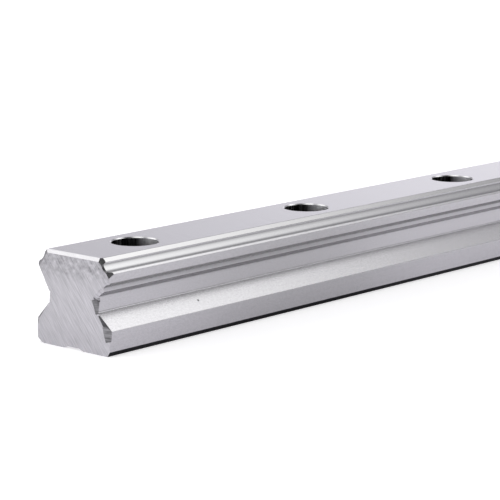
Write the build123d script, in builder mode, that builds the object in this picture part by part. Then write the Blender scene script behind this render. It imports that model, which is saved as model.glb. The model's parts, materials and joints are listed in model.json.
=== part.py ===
"""Profiled linear guide rail, size 25: one ground steel bar with four ball raceways.

The rail lies on its bottom face along X, with Z up.  The origin is in the middle
of the bottom face.  All sizes are in millimetres, and angles in degrees.
"""
import os
from math import cos, radians, sin

from build123d import *

# Length and screw holes
hole_count = 6
hole_pitch = 60.0
end_distance = 20.0
screw_hole_diameter = 7.0
counterbore_diameter = 11.0
counterbore_depth = 9.0
hole_deburr = 0.25

# Section: overall and base
rail_width = 23.0
rail_height = 22.0
base_side_height = 5.8
bottom_chamfer_width = 0.75
bottom_chamfer_height = 1.15
relief_width = 6.2
relief_roof_width = 3.6
relief_depth = 0.5

# Section: waist between base and head
waist_width = 15.6
waist_bottom = 9.6
waist_top = 13.3
waist_root_radius = 0.8
overhang_width = 18.7
overhang_height = 14.5

# Section: head with its raceways
top_land_width = 17.0
top_bevel = 0.9
nose_depth = 4.25
nose_land = 1.9
nose_chamfer = 0.5
raceway_radius = 2.06
raceway_spacing = 22.8
raceway_rise = 3.37

# Ends: cut square, then the top edge bevelled and the corners ground by hand.
# Each facet has its direction above level, length down the rail and reach over the end.
end_bevel = 0.8
head_facet = dict(facing=45.0, along=1.3, reach=0.65)
nose_facet = dict(facing=33.0, along=1.5, reach=0.75)
raceway_facet = dict(facing=-35.0, along=0.7, reach=0.6)
waist_facet = dict(facing=10.0, along=1.1, reach=1.0)
shoulder_facet = dict(facing=33.0, along=0.8, reach=1.2)
grinding_disc_radius = 4.5
grinding_point_radius = 2.0
grinding_disc_thickness = 3.0

rail_length = (hole_count - 1) * hole_pitch + 2 * end_distance
nose_height = rail_height - nose_depth
half_land = nose_land / 2
waist_middle = (waist_bottom + waist_top) / 2


def grind_corner(across, up, facing, along, reach, radius=grinding_disc_radius):
    """Grind one flat facet over a corner of the section, on both sides of both ends."""
    slope = along / reach
    for end in (-1, 1):
        for side in (-1, 1):
            facet = Plane(
                origin=(end * (rail_length / 2 - along), side * across, up),
                z_dir=(end, side * slope * cos(radians(facing)), slope * sin(radians(facing))),
            )
            with Locations(facet):
                Cylinder(
                    radius,
                    grinding_disc_thickness,
                    align=(Align.CENTER, Align.CENTER, Align.MIN),
                    mode=Mode.SUBTRACT,
                )


with BuildPart() as guide_rail:
    # Ground section: the right half, mirrored, its waist rounded and the raceways cut in
    with BuildSketch(Plane.YZ) as section:
        with BuildLine() as outline:
            Polyline(
                (0, rail_height),
                (top_land_width / 2, rail_height),
                (top_land_width / 2 + top_bevel, rail_height - top_bevel),
                (rail_width / 2 - nose_chamfer, nose_height + half_land + nose_chamfer),
                (rail_width / 2, nose_height + half_land),
                (rail_width / 2, nose_height - half_land),
                (rail_width / 2 - nose_chamfer, nose_height - half_land - nose_chamfer),
                (overhang_width / 2, overhang_height),
                (waist_width / 2, waist_top),
                (waist_width / 2, waist_bottom),
                (rail_width / 2, base_side_height),
                (rail_width / 2, bottom_chamfer_height),
                (rail_width / 2 - bottom_chamfer_width, 0),
                (relief_width / 2, 0),
                (relief_roof_width / 2, relief_depth),
                (0, relief_depth),
            )
            mirror(about=Plane.YZ)
        make_face()
        waist_roots = section.vertices().filter_by_position(Axis.Y, waist_bottom, waist_top)
        fillet(waist_roots, radius=waist_root_radius)
        with Locations((0, nose_height)):
            with GridLocations(raceway_spacing, 2 * raceway_rise, 2, 2):
                Circle(raceway_radius, mode=Mode.SUBTRACT)
    extrude(amount=rail_length / 2, both=True)

    # Ends: a bevel along the top edge, then facets over the corners down each side
    top_end_edges = guide_rail.edges().filter_by(Axis.Y).group_by(Axis.Z)[-1]
    chamfer(top_end_edges, length=end_bevel)
    grind_corner(top_land_width / 2, rail_height, **head_facet)
    grind_corner(rail_width / 2, nose_height + half_land, **nose_facet)
    grind_corner(rail_width / 2, nose_height - half_land, **raceway_facet)
    grind_corner(waist_width / 2, waist_middle, **waist_facet, radius=grinding_point_radius)
    grind_corner(rail_width / 2, base_side_height, **shoulder_facet)

    # Screw holes, counterbored for the screw heads, with their rims deburred
    with Locations((0, 0, rail_height)):
        with GridLocations(hole_pitch, 0, hole_count, 1):
            CounterBoreHole(screw_hole_diameter / 2, counterbore_diameter / 2, counterbore_depth)
    rims = guide_rail.edges().filter_by(GeomType.CIRCLE).group_by(Axis.Z)[-1]
    chamfer(rims, length=hole_deburr)

guide_rail.part.label = "guide_rail"

os.makedirs("parts", exist_ok=True)
export_step(guide_rail.part, "parts/guide_rail.step")
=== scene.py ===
import json
from math import cos, pi, radians, sin

import bmesh
import bpy
from mathutils import Matrix, Vector, noise


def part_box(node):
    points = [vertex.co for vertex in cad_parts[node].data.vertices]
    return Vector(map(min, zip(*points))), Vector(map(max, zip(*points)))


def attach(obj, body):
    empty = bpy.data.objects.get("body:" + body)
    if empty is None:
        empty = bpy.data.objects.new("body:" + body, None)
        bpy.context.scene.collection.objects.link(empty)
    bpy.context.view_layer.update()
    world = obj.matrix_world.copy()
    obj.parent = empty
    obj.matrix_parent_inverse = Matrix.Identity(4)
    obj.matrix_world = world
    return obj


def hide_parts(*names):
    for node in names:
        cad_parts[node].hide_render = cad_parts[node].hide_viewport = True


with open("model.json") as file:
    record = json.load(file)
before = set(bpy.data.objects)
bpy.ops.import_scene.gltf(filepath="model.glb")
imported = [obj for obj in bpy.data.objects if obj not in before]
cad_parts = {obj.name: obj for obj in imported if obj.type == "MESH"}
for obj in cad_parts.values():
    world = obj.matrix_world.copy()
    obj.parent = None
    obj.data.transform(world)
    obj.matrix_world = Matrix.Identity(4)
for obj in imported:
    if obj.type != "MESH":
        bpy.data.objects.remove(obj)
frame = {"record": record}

for starter in ("Cube", "Light", "Camera"):
    if starter in bpy.data.objects:
        bpy.data.objects.remove(bpy.data.objects[starter])
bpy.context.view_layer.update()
mm = 0.001

# The camera.  A long lens looks along the rail from beside its near end, a little
# above the top, as a maker's own pictures of such rails are taken.
camera_place = Vector((-491.5, -348.0, 116.9)) * mm
camera_heading = radians(42.43)
camera_dip = radians(11.26)
camera_lens = 155.5

camera_data = bpy.data.cameras.new("camera")
camera_data.lens = camera_lens
camera_data.clip_start = 0.05
camera_data.clip_end = 20
camera = bpy.data.objects.new("camera", camera_data)
camera.location = camera_place
camera.rotation_euler = (pi / 2 - camera_dip, 0, camera_heading - pi / 2)
bpy.context.scene.collection.objects.link(camera)
bpy.context.scene.camera = camera

# The ground section.  The rail is one length of bearing steel, hardened and then ground
# by shaped wheels: a flat top between two bevels, two ball raceways down each side of
# the head, a narrow waist, sloping shoulders and a square base.
bar_low, bar_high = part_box("guide_rail")
near_end = bar_low.x
far_end = bar_high.x
half_width = bar_high.y
height = bar_high.z
length = far_end - near_end

half_top_land = 17.0 * mm / 2
top_bevel = 0.84 * mm
nose_height = height - 4.25 * mm
half_nose_land = 1.9 * mm / 2
nose_chamfer = 0.38 * mm
raceway_radius = 2.06 * mm
raceway_out = 22.8 * mm / 2
raceway_rise = 3.37 * mm
raceway_steps = 24
overhang = Vector((18.7 * mm / 2, 14.5 * mm))
waist_top = Vector((15.6 * mm / 2, 13.3 * mm))
waist_bottom = Vector((15.6 * mm / 2, 9.6 * mm))
waist_root = 0.8 * mm
waist_root_steps = 7
corner_root = 0.08 * mm
witness_start = 0.16 * mm
witness_width = 0.15 * mm
witness_depth = 0.04 * mm
base_corner = Vector((half_width, 5.8 * mm))
bottom_chamfer = Vector((0.75, 1.15)) * mm
bottom_half_width = half_width - bottom_chamfer.x
half_relief = 6.2 * mm / 2
half_relief_roof = 3.6 * mm / 2
relief_depth = 0.5 * mm
edge_round = 0.07 * mm
weld = 0.001 * mm

# Which finish each face of the bar takes, in the order of its material slots
FLANK, TOP, BEVEL, RACEWAY, END, END_BEVEL, FACET_PAINTED_DARK, BORE, PAINTED_SHADE_CHAMFER = range(9)
finish_count = 9


def arc(centre, start, end, steps):
    """Points of the arc about centre from start to end, by the short way round, both included."""
    begin = start - centre
    turn = begin.angle_signed(end - centre)
    return [centre + Matrix.Rotation(-turn * step / steps, 2) @ begin for step in range(steps + 1)]


def on_circle(centre, across=None, up=None):
    """The point of a raceway's circle, on its inner side, at a given width or height."""
    if across is None:
        return Vector((centre.x - (raceway_radius ** 2 - (up - centre.y) ** 2) ** 0.5, up))
    side = 1 if centre.y < nose_height else -1
    return Vector((across, centre.y + side * (raceway_radius ** 2 - (across - centre.x) ** 2) ** 0.5))


def rounded(before, corner, after, radius):
    """The fillet between two lines that meet at a corner of the waist."""
    inward = ((before - corner).normalized() + (after - corner).normalized()).normalized()
    half_angle = (before - corner).angle(after - corner) / 2
    centre = corner + inward * radius / sin(half_angle)
    reach = radius * cos(half_angle) / sin(half_angle)
    start = corner + (before - corner).normalized() * reach
    end = corner + (after - corner).normalized() * reach
    return arc(centre, start, end, waist_root_steps)


upper_centre = Vector((raceway_out, nose_height + raceway_rise))
lower_centre = Vector((raceway_out, nose_height - raceway_rise))
upper_start = on_circle(upper_centre, up=height - top_bevel)
upper_end = on_circle(upper_centre, across=half_width - nose_chamfer)
lower_start = on_circle(lower_centre, across=half_width - nose_chamfer)
lower_end = on_circle(lower_centre, up=overhang.y)

# A shallow groove that the wheel's edge left on each side of the waist's lower corner
downhill = (base_corner - waist_bottom).normalized()
into_steel = Vector((downhill.y, -downhill.x))
lower_witness = waist_bottom + downhill * witness_start
upper_witness = waist_bottom + Vector((0, witness_start))
half_outline = [
    Vector((0, height)),
    Vector((half_top_land, height)),
    *arc(upper_centre, upper_start, upper_end, raceway_steps),
    Vector((half_width, nose_height + half_nose_land)),
    Vector((half_width, nose_height - half_nose_land)),
    *arc(lower_centre, lower_start, lower_end, raceway_steps),
    *rounded(overhang, waist_top, waist_bottom, waist_root),
    upper_witness + Vector((0, witness_width)),
    upper_witness + Vector((-witness_depth, witness_width / 2)),
    upper_witness,
    *rounded(waist_top, waist_bottom, base_corner, corner_root),
    lower_witness,
    lower_witness + downhill * witness_width / 2 + into_steel * witness_depth,
    lower_witness + downhill * witness_width,
    base_corner,
    Vector((half_width, bottom_chamfer.y)),
    Vector((bottom_half_width, 0)),
    Vector((half_relief, 0)),
    Vector((half_relief_roof, relief_depth)),
    Vector((0, relief_depth)),
]

bm = bmesh.new()
points = [bm.verts.new((near_end, point.x, point.y)) for point in half_outline]
for here, there in zip(points, points[1:]):
    bm.edges.new((here, there))
bmesh.ops.mirror(bm, geom=bm.verts[:] + bm.edges[:], axis="Y", merge_dist=weld)
bmesh.ops.remove_doubles(bm, verts=bm.verts[:], dist=weld)
section = bmesh.ops.contextual_create(bm, geom=bm.edges[:])["faces"]
pulled = bmesh.ops.extrude_face_region(bm, geom=section, use_keep_orig=True)["geom"]
pulled_points = [part for part in pulled if isinstance(part, bmesh.types.BMVert)]
bmesh.ops.translate(bm, verts=pulled_points, vec=(length, 0, 0))
bmesh.ops.recalc_face_normals(bm, faces=bm.faces[:])


def runs_along(edge):
    """Whether an edge runs the length of the bar."""
    return abs(edge.verts[0].co.x - edge.verts[1].co.x) > length / 2


# Corners turn more than an arc's steps do, and the faces beside them are wide enough to round
least_turn = radians(14)
least_width = 3 * edge_round
sharp_edges = [
    edge
    for edge in bm.edges
    if runs_along(edge)
    and edge.calc_face_angle() > least_turn
    and min(face.calc_area() for face in edge.link_faces) > least_width * length
]
bmesh.ops.bevel(
    bm,
    geom=sharp_edges,
    offset=edge_round,
    offset_type="OFFSET",
    affect="EDGES",
    segments=2,
    profile=0.5,
    material=-1,
)

square_on = 0.9
looks_down = -0.2
bright_corner = 0.1 * mm
painted_line_end = witness_start + witness_width
widest_arc_step = 0.5 * mm
for face in bm.faces:
    middle = face.calc_center_median()
    out = abs(middle.y)
    if abs(face.normal.x) > square_on:
        face.material_index = END
    elif middle.z > height - weld:
        face.material_index = TOP
    # The narrow chamfers along the underside are painted black, as shade
    elif face.normal.z < looks_down and middle.z < bottom_chamfer.y and out > bottom_half_width:
        face.material_index = PAINTED_SHADE_CHAMFER
    # A narrow line under the waist's corner is painted darker, as shade
    elif bright_corner < abs(middle.z - waist_bottom.y) < painted_line_end:
        face.material_index = FACET_PAINTED_DARK
    elif middle.z > upper_start.y:
        face.material_index = BEVEL
    elif lower_end.y < middle.z and out < half_width - nose_chamfer:
        face.material_index = RACEWAY
    else:
        face.material_index = FLANK
    face.smooth = face.material_index != END and face.calc_area() < widest_arc_step * length

# The ends.  The bar was cut to length by an abrasive wheel, the near end a little out
# of square.  A bevel was then ground along the top edge, and the sharp corners down
# both sides were taken off by hand, each by its own uneven facet.
end_bevel = 0.72 * mm
end_out_of_square = 0.025

for end, inward in ((near_end, 1), (far_end, -1)):
    cut = bmesh.ops.bisect_plane(
        bm,
        geom=bm.verts[:] + bm.edges[:] + bm.faces[:],
        plane_co=(end + inward * end_bevel, 0, height),
        plane_no=(-inward, 0, 1),
        clear_outer=True,
    )["geom_cut"]
    rim = [part for part in cut if isinstance(part, bmesh.types.BMEdge)]
    bmesh.ops.contextual_create(bm, geom=rim, mat_nr=END_BEVEL)
for vert in bm.verts:
    if vert.co.x < near_end + 2 * end_bevel:
        vert.co.x += (half_width - vert.co.y) * end_out_of_square
bmesh.ops.recalc_face_normals(bm, faces=bm.faces[:])


def fresh_object(name, bm):
    """A new object from a finished bmesh, at the origin."""
    mesh = bpy.data.meshes.new(name)
    bm.to_mesh(mesh)
    bm.free()
    for _ in range(finish_count):
        mesh.materials.append(None)
    made = bpy.data.objects.new(name, mesh)
    bpy.context.scene.collection.objects.link(made)
    return made


bar = fresh_object("guide_rail_steel", bm)


def cut_away(bm):
    """Takes the shape of a finished bmesh out of the bar."""
    cutter = fresh_object("cutter", bm)
    difference = bar.modifiers.new("difference", "BOOLEAN")
    difference.operation = "DIFFERENCE"
    difference.solver = "EXACT"
    difference.material_mode = "INDEX"
    difference.object = cutter
    cut_bar = bar.evaluated_get(bpy.context.evaluated_depsgraph_get())
    bar_mesh = bpy.data.meshes.new_from_object(cut_bar)
    bar.modifiers.clear()
    bar.data = bar_mesh
    bpy.data.objects.remove(cutter)


facet_steps = 24
facet_clear = 2.5 * mm
facet_swell = 1.0 * mm
facet_ripple = 0.35 * mm
deburr_clear = 1.0 * mm
deburr_segments = 72


def end_place(end, side, corner, along):
    """The point `along` millimetres inside the plane of an end, at a corner of the section."""
    place = Vector((far_end, side * corner[0], corner[1]))
    if end < 0:
        place.x = near_end + (half_width - place.y) * end_out_of_square
    place.x -= end * along * mm
    return place


# Facets in the facet finish are painted darker than the ground steel, as shade
def grind_corner(end, side, corner, facing, along, reach, size=(2.0, 2.0), wave=0.04, finish=FACET_PAINTED_DARK):
    """Grinds one facet over a corner of the section at an end.

    It goes `along` down the bar and `reach` over the end face, and faces `facing` degrees
    above level.  Size is its half length across and down the facet, and wave how uneven
    it is, all in millimetres.
    """
    facing = radians(facing)
    outward = Vector((0, side * cos(facing), sin(facing)))
    across = Vector((0, -side * sin(facing), cos(facing)))
    normal = (Vector((end * reach, 0, 0)) + outward * along).normalized()
    down = normal.cross(across)
    place = Matrix((across, down, normal)).transposed().to_4x4()
    place.translation = end_place(end, side, corner, along / 2) - outward * reach * mm / 2
    bm = bmesh.new()
    bmesh.ops.create_grid(
        bm,
        x_segments=facet_steps,
        y_segments=facet_steps,
        size=1,
        matrix=place @ Matrix.Diagonal((size[0] * mm, size[1] * mm, 1, 1)),
    )
    for vert in bm.verts:
        ripple = noise.noise(vert.co / facet_swell) + 0.5 * noise.noise(vert.co / facet_ripple)
        vert.co += normal * ripple * wave * mm
    for face in bm.faces:
        face.material_index = finish
        face.smooth = True
    lifted = bmesh.ops.extrude_face_region(bm, geom=bm.faces[:], use_keep_orig=True)["geom"]
    lifted_points = [part for part in lifted if isinstance(part, bmesh.types.BMVert)]
    bmesh.ops.translate(bm, verts=lifted_points, vec=normal * facet_clear)
    bmesh.ops.recalc_face_normals(bm, faces=bm.faces[:])
    cut_away(bm)


def deburr_raceway(end, side, centre, along, reach):
    """Breaks the end edge of a raceway with a cone, `along` deep and `reach` wide in millimetres."""
    bm = bmesh.new()
    past_edge = reach / along * deburr_clear / 2
    place = Matrix.Translation(end_place(end, side, centre, along / 2))
    bmesh.ops.create_cone(
        bm,
        cap_ends=True,
        segments=deburr_segments,
        radius1=raceway_radius - past_edge,
        radius2=raceway_radius + reach * mm + past_edge,
        depth=along * mm + deburr_clear,
        matrix=place @ Matrix.Rotation(end * pi / 2, 4, "Y"),
    )
    # The cone is painted darker, as shade
    for face in bm.faces:
        face.material_index = FACET_PAINTED_DARK
        face.smooth = True
    cut_away(bm)


top_corner = Vector((half_top_land, height))
nose_top = Vector((half_width, nose_height + half_nose_land))
nose_bottom = Vector((half_width, nose_height - half_nose_land))
head_middle = (top_corner + nose_top) / 2
groove_middle = (nose_bottom + overhang) / 2
waist_middle = Vector((waist_top.x, 11.1 * mm))
base_side = Vector((half_width, 5.3 * mm))
bottom_corner = Vector((bottom_half_width, 0))

for end in (-1, 1):
    right = end
    grind_corner(end, right, top_corner, 46, along=1.3, reach=0.6, size=(1.5, 1.5))
    grind_corner(end, right, nose_top, 37, along=1.6, reach=0.51, size=(1.6, 1.6))
    grind_corner(
        end, right, overhang, -44, along=0.6, reach=0.85, size=(3.1, 1.1), wave=0.08, finish=END
    )
    grind_corner(
        end, right, overhang, -35, along=0.3, reach=0.95, size=(0.8, 0.5), wave=0.2, finish=END
    )
    grind_corner(end, right, waist_middle, 19, along=0.55, reach=1.1, size=(1.7, 1.3), wave=0.05)
    grind_corner(end, right, base_corner, 33, along=0.8, reach=1.07, size=(4.5, 1.4))
    grind_corner(end, right, base_side, 14, along=0.75, reach=1.65, size=(1.75, 1.6), wave=0.05)
    deburr_raceway(end, right, upper_centre, along=0.5, reach=0.2)

    left = -end
    grind_corner(end, left, head_middle, 39, along=0.7, reach=1.13, size=(3.0, 1.3))
    grind_corner(end, left, groove_middle, -31, along=1.2, reach=0.95, size=(4.4, 1.5), finish=END)
    grind_corner(end, left, waist_middle, 5, along=0.8, reach=0.45, size=(1.4, 1.2), finish=END)
    grind_corner(end, left, base_corner, 40, along=0.2, reach=0.62, size=(4.4, 1.0))
    grind_corner(end, left, base_side, 14, along=0.14, reach=0.5, size=(2.8, 1.0))
    grind_corner(end, left, bottom_corner, -62, along=0.5, reach=0.6, size=(2.2, 1.2), finish=END)

# The screw holes.  Drilled and counterbored before hardening, for socket head screws
# whose heads lie below the top, each rim deburred by a countersink.
screw_radius = 7.0 * mm / 2
head_radius = 11.0 * mm / 2
head_seat = height - 9.0 * mm
rim_deburr = 0.25 * mm
past = 1.0 * mm
bore_steps = 96

mounts = frame["record"]["mounts"]
screw_places = [mount["pos_m"][0] for mount in mounts if "screw_hole" in mount["name"]]
hole_pitch = screw_places[1] - screw_places[0]
bore_outline = [
    Vector((0, 0, height + past)),
    Vector((head_radius + rim_deburr + past, 0, height + past)),
    Vector((head_radius, 0, height - rim_deburr)),
    Vector((head_radius, 0, head_seat)),
    Vector((screw_radius, 0, head_seat)),
    Vector((screw_radius, 0, -past)),
    Vector((0, 0, -past)),
]

bm = bmesh.new()
for place in screw_places:
    points = [bm.verts.new(point) for point in bore_outline]
    edges = [bm.edges.new(pair) for pair in zip(points, points[1:])]
    bmesh.ops.spin(
        bm,
        geom=points + edges,
        cent=(0, 0, 0),
        axis=(0, 0, 1),
        angle=2 * pi,
        steps=bore_steps,
        use_merge=True,
    )
    turned = [vert for vert in bm.verts if not vert.tag]
    bmesh.ops.translate(bm, verts=turned, vec=(place, 0, 0))
    for vert in turned:
        vert.tag = True
bmesh.ops.remove_doubles(bm, verts=bm.verts[:], dist=weld)
bmesh.ops.recalc_face_normals(bm, faces=bm.faces[:])
for face in bm.faces:
    middle = face.calc_center_median()
    if middle.z > height - rim_deburr:
        face.material_index = END_BEVEL
    elif middle.z > head_seat + weld:
        face.material_index = BORE
    # The seats and the screw holes below them are painted darker, as shade
    else:
        face.material_index = FACET_PAINTED_DARK
    face.smooth = abs(face.normal.z) < square_on
cut_away(bm)

# Corners stay crisp, and so does the line where two finishes meet
crisp_turn = radians(30)
bm = bmesh.new()
bm.from_mesh(bar.data)
bmesh.ops.remove_doubles(bm, verts=bm.verts[:], dist=weld)
for edge in bm.edges:
    one_finish = len({face.material_index for face in edge.link_faces}) == 1
    edge.smooth = one_finish and edge.calc_face_angle(pi) < crisp_turn
bm.to_mesh(bar.data)
bm.free()
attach(bar, "root")
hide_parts("guide_rail")

# The finishes.  The bar is bare steel as each tool left it: ground bright along its
# length and cut across at the ends.  Painted shade darkens the screw holes and the facets,
# the narrow underside chamfers are painted black, and painted light brightens one bore side.


class Signal:
    """A shader socket, whose sums add Math nodes to its tree."""

    def __init__(self, tree, socket):
        self.tree = tree
        self.socket = socket

    def worked(self, operation, first, second=0):
        return self.tree.node("Math", dict(operation=operation), {0: first, 1: second})

    def __add__(self, other):
        return self.worked("ADD", self, other)

    def __radd__(self, other):
        return self.worked("ADD", other, self)

    def __sub__(self, other):
        return self.worked("SUBTRACT", self, other)

    def __rsub__(self, other):
        return self.worked("SUBTRACT", other, self)

    def __mul__(self, other):
        return self.worked("MULTIPLY", self, other)

    def __rmul__(self, other):
        return self.worked("MULTIPLY", other, self)

    def __abs__(self):
        return self.worked("ABSOLUTE", self)

    def fraction(self):
        """What is left of this signal above the next whole number down."""
        return self.worked("FRACT", self)

    def faded(self, start, end):
        """Goes smoothly from 0 where this signal is at start to 1 where it is at end."""
        if start > end:
            return 1 - self.faded(end, start)
        smooth = dict(interpolation_type="SMOOTHSTEP")
        return self.tree.node("MapRange", smooth, {0: self, 1: start, 2: end})


class Tree:
    """The nodes of one material, or of the world."""

    def __init__(self, owner):
        owner.use_nodes = True
        self.nodes = owner.node_tree.nodes
        self.links = owner.node_tree.links
        self.nodes.clear()

    def node(self, kind, settings=None, sockets=None, output=0):
        """Adds a node: its settings first, then values or links for its sockets."""
        made = self.nodes.new("ShaderNode" + kind)
        for name, value in (settings or {}).items():
            setattr(made, name, value)
        for name, value in (sockets or {}).items():
            if isinstance(value, Signal):
                self.links.new(value.socket, made.inputs[name])
            else:
                made.inputs[name].default_value = value
        return Signal(self, made.outputs[output]) if made.outputs else None

    def place(self):
        """Where a point of the surface is, in the object's own metres."""
        return self.node("TexCoord", output="Object")

    def part(self, vector, axis):
        """One coordinate of a vector."""
        return self.node("SeparateXYZ", {}, {0: vector}, output=axis)

    def measured(self, operation, first, second):
        """The distance or the dot product of two vectors."""
        return self.node("VectorMath", dict(operation=operation), {0: first, 1: second}, output="Value")

    def blended(self, share, first, second):
        """A colour between two, by the share of the second."""
        return self.node("Mix", dict(data_type="RGBA"), {0: share, 6: first, 7: second}, output=2)


def grain(tree, size, turn=(0, 0, 0), detail=2.0):
    """Noise whose grains are `size` millimetres along X, Y and Z, turned by `turn` degrees."""
    sockets = {
        "Vector": tree.place(),
        "Rotation": [radians(angle) for angle in turn],
        "Scale": [width * mm for width in size],
    }
    turned = tree.node("Mapping", dict(vector_type="TEXTURE"), sockets)
    return tree.node("TexNoise", {}, {"Vector": turned, "Scale": 1, "Detail": detail, "Roughness": 0.5})


def steel(slot, name, colour, roughness, marks, depth=0.0, wear_and_painted_light=None):
    """Bare steel with its marks, each how strong it is, its grains' size and their turn.

    The last argument, if given, works out from the tree how light each place is before the marks; in
    the counterbores that is painted light and shade.
    """
    material = bpy.data.materials.new(name)
    bar.data.materials[slot] = material
    tree = Tree(material)
    marked = sum(strength * (grain(tree, *grains) - 0.5) for strength, *grains in marks)
    tone_and_painted_light = marked + (wear_and_painted_light(tree) if wear_and_painted_light else 1.0)
    doubled = [2 * level for level in colour] + [1]
    sockets = {
        "Base Color": tree.blended(0.5 * tone_and_painted_light, (0, 0, 0, 1), doubled),
        "Metallic": 1,
        "Roughness": roughness,
    }
    if depth:
        sockets["Normal"] = tree.node("Bump", {}, {"Height": marked + 0.5, "Distance": depth})
    surface = tree.node("BsdfPrincipled", {}, sockets)
    tree.node("OutputMaterial", {}, {"Surface": surface})


mottle_start = 15 * mm
mottle_full = 19 * mm
mottle_contrast = 1.2
mottle_lift = 0.45
pit_place = (-139.06 * mm, -9.58 * mm, 7.77 * mm)
pit_floor = 0.15 * mm
pit_rim = 0.4 * mm
pit_shade = 0.2
# Painted shade inside the counterbores, and painted light on their sides towards the far end
painted_bore_shade = 0.09
painted_bore_light = 1.5
painted_light_start = 0.72 * head_radius
painted_light_full = 0.93 * head_radius


def mottled_top(tree):
    """The end face is duller and mottled near its top, where the bevel was ground."""
    high = tree.part(tree.place(), "Z").faded(mottle_start, mottle_full)
    return 1 - high * (mottle_contrast * grain(tree, (1, 1.3, 1), detail=4) - mottle_lift)


def pitted(tree):
    """One small dark pit in the shoulder, where a grain broke out of the wheel's work."""
    away = tree.measured("DISTANCE", tree.place(), pit_place)
    return pit_shade + (1 - pit_shade) * away.faded(pit_floor, pit_rim)


def painted_bore_light_and_shade(tree):
    """Painted shade darkens each counterbore, and painted light brightens its side towards the far end.
    """
    along = tree.part(tree.place(), "X") - screw_places[0]
    turns = along * (1 / hole_pitch) + 0.5
    beside = hole_pitch * (turns.fraction() - 0.5)
    return painted_bore_shade + painted_bore_light * beside.faded(painted_light_start, painted_light_full)


ground_along = (0.08, (40, 0.15, 0.15))
steel(
    FLANK,
    "ground_flank",
    (0.47, 0.467, 0.472),
    0.24,
    [(0.28, (0.6, 0.3, 0.3)), (0.06, (60, 0.3, 0.3))],
    wear_and_painted_light=pitted,
)
steel(
    TOP,
    "ground_top",
    (0.475, 0.472, 0.478),
    0.22,
    [(0.16, (14, 0.3, 1), (0, 0, 75.4)), (0.1, (30, 1.2, 1), (0, 0, 73))],
)
steel(BEVEL, "ground_bevel", (0.47, 0.47, 0.465), 0.2, [ground_along])
steel(RACEWAY, "ground_raceway", (0.44, 0.44, 0.44), 0.2, [ground_along])
steel(
    END,
    "sawn_end",
    (0.485, 0.482, 0.488),
    0.3,
    [(0.24, (1, 9, 0.9), (51, 0, 0)), (0.9, (1, 4, 0.2), (52, 0, 0))],
    depth=0.006 * mm,
    wear_and_painted_light=mottled_top,
)
steel(END_BEVEL, "ground_end_bevel", (0.55, 0.55, 0.55), 0.25, [(0.1, (1, 0.2, 1))])
# The facets, cones and seats are painted darker than the ground steel, as shade
steel(FACET_PAINTED_DARK, "hand_ground_facet_painted_dark", (0.28, 0.28, 0.28), 0.3, [(1.3, (4, 4, 0.36))])
# The counterbores take painted shade, with painted light on one side of each
steel(BORE, "counterbore", (0.5, 0.5, 0.51), 0.42, [(0.9, (0.5, 0.5, 8))], wear_and_painted_light=painted_bore_light_and_shade)
# The underside chamfers are painted black, as shade
steel(PAINTED_SHADE_CHAMFER, "painted_black_shade", (0.004, 0.004, 0.005), 0.6, [(0.8, (2, 0.4, 0.4))])

# The floor.  A plain pale table top, wide enough to fill the picture behind the rail.
# What the steel mirrors of it is painted: cooler than the floor, with a painted shadow in one stripe
# beside the rail.
floor_reach = 3.0
floor_colour = (0.8, 0.8, 0.8, 1)
floor_glow = 0.56
mirrored_glow = 0.48
painted_mirror_colour = (1.04, 1.0, 1.13, 1)
painted_shadow_colour = (0.52, 0.5, 0.565, 1)
painted_shadow_heading = (0.67, 0.74, 0)
painted_shadow_place = -78 * mm
painted_shadow_core = 5 * mm
painted_shadow_edge = 42 * mm

bm = bmesh.new()
bmesh.ops.create_grid(bm, x_segments=1, y_segments=1, size=floor_reach)
floor_mesh = bpy.data.meshes.new("floor")
bm.to_mesh(floor_mesh)
bm.free()
floor = bpy.data.objects.new("floor", floor_mesh)
bpy.context.scene.collection.objects.link(floor)

floor_paint = bpy.data.materials.new("floor_paint")
floor_mesh.materials.append(floor_paint)
tree = Tree(floor_paint)
seen = tree.node("LightPath", output="Is Camera Ray")
mirrored = tree.node("LightPath", output="Is Glossy Ray")
through = tree.node("LightPath", output="Is Transmission Ray")
beside = abs(tree.measured("DOT_PRODUCT", tree.place(), painted_shadow_heading) - painted_shadow_place)
painted_mirror_tint = tree.blended(beside.faded(painted_shadow_core, painted_shadow_edge), painted_shadow_colour, painted_mirror_colour)
matt = tree.node("BsdfDiffuse", {}, {"Color": floor_colour})
glow = tree.node("Emission", {}, {"Strength": floor_glow * (seen + through)})
cool = tree.node("Emission", {}, {"Color": painted_mirror_tint, "Strength": mirrored_glow * mirrored})
glow = tree.node("AddShader", {}, {0: glow, 1: cool})
tree.node("OutputMaterial", {}, {"Surface": tree.node("AddShader", {}, {0: matt, 1: glow})})

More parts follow.
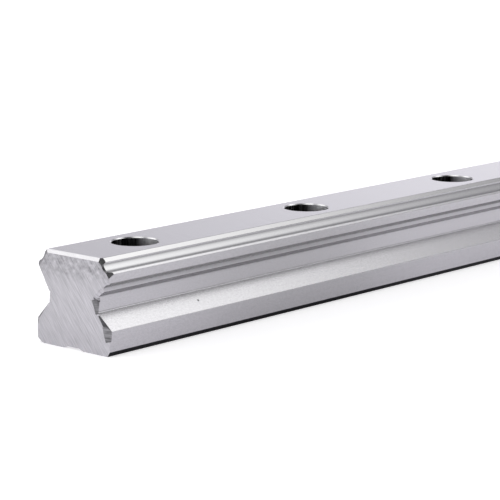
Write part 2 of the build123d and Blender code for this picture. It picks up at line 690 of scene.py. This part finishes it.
# The light.  A dim cool room, darker high up on the near right, with a pale backdrop
# behind the rail, and four white softboxes: the large key on the right, one high and one
# low on the left, and a small one overhead.  Edges are parts of a direction one unit long.
room_level = 0.45
room_colour = (1.02, 1.0, 1.075, 1)
key_level = 1.84
high_left_level = 1.52
low_left_level = 2.4
overhead_level = 2.0
backdrop_level = 0.42
backdrop_far_level = 0.43
gap_level = 0.75
key_far_edge = (0.82, 0.67)
key_near_edge = (0.3, 0.55)
key_left_edge = (0.3, -0.2)
key_lower_edge = (-0.11, 0.57)
backdrop_top_edge = (0.34, 0.22)
backdrop_far_edge = (0.62, 0.85)
gap_lower_edge = (0.25, 0.6)
gap_left_edge = (0.2, -0.1)
gap_far_edge = (0.5, 0.3)

world = bpy.data.worlds.new("studio")
bpy.context.scene.world = world
tree = Tree(world)
way = tree.node("TexCoord", output="Generated")
along_rail = tree.part(way, "X")
across_rail = tree.part(way, "Y")
rise = tree.part(way, "Z")


def softbox(azimuth, elevation, inner, outer):
    """A round light, full within its inner angle and gone at its outer one."""
    azimuth, elevation = radians(azimuth), radians(elevation)
    axis = (cos(azimuth) * cos(elevation), sin(azimuth) * cos(elevation), sin(elevation))
    facing = tree.measured("DOT_PRODUCT", way, axis)
    return facing.faded(cos(radians(outer)), cos(radians(inner)))


key = along_rail.faded(*key_far_edge) * along_rail.faded(*key_near_edge)
key = key * across_rail.faded(*key_left_edge) * rise.faded(*key_lower_edge)
lights = key_level * key
lights = lights + high_left_level * softbox(105, 43, inner=12, outer=24)
lights = lights + low_left_level * softbox(142, 17, inner=13, outer=26)
lights = lights + overhead_level * softbox(170, 80, inner=9, outer=17)
backdrop = backdrop_level + backdrop_far_level * along_rail.faded(*backdrop_far_edge)
backdrop = backdrop * rise.faded(*backdrop_top_edge) * softbox(42, 0, inner=28, outer=46)
gap = rise.faded(*gap_lower_edge) * across_rail.faded(*gap_left_edge) * along_rail.faded(*gap_far_edge)
room = room_level * (1 - gap_level * gap)
seen = tree.node("LightPath", output="Is Camera Ray")
unseen = 1 - seen
cool = tree.node("Background", {}, {"Color": room_colour, "Strength": unseen * (room + backdrop)})
plain = tree.node("Background", {}, {"Color": (1, 1, 1, 1), "Strength": unseen * lights + seen})
tree.node("OutputWorld", {}, {"Surface": tree.node("AddShader", {}, {0: cool, 1: plain})})

bpy.context.scene.view_settings.view_transform = "Standard"
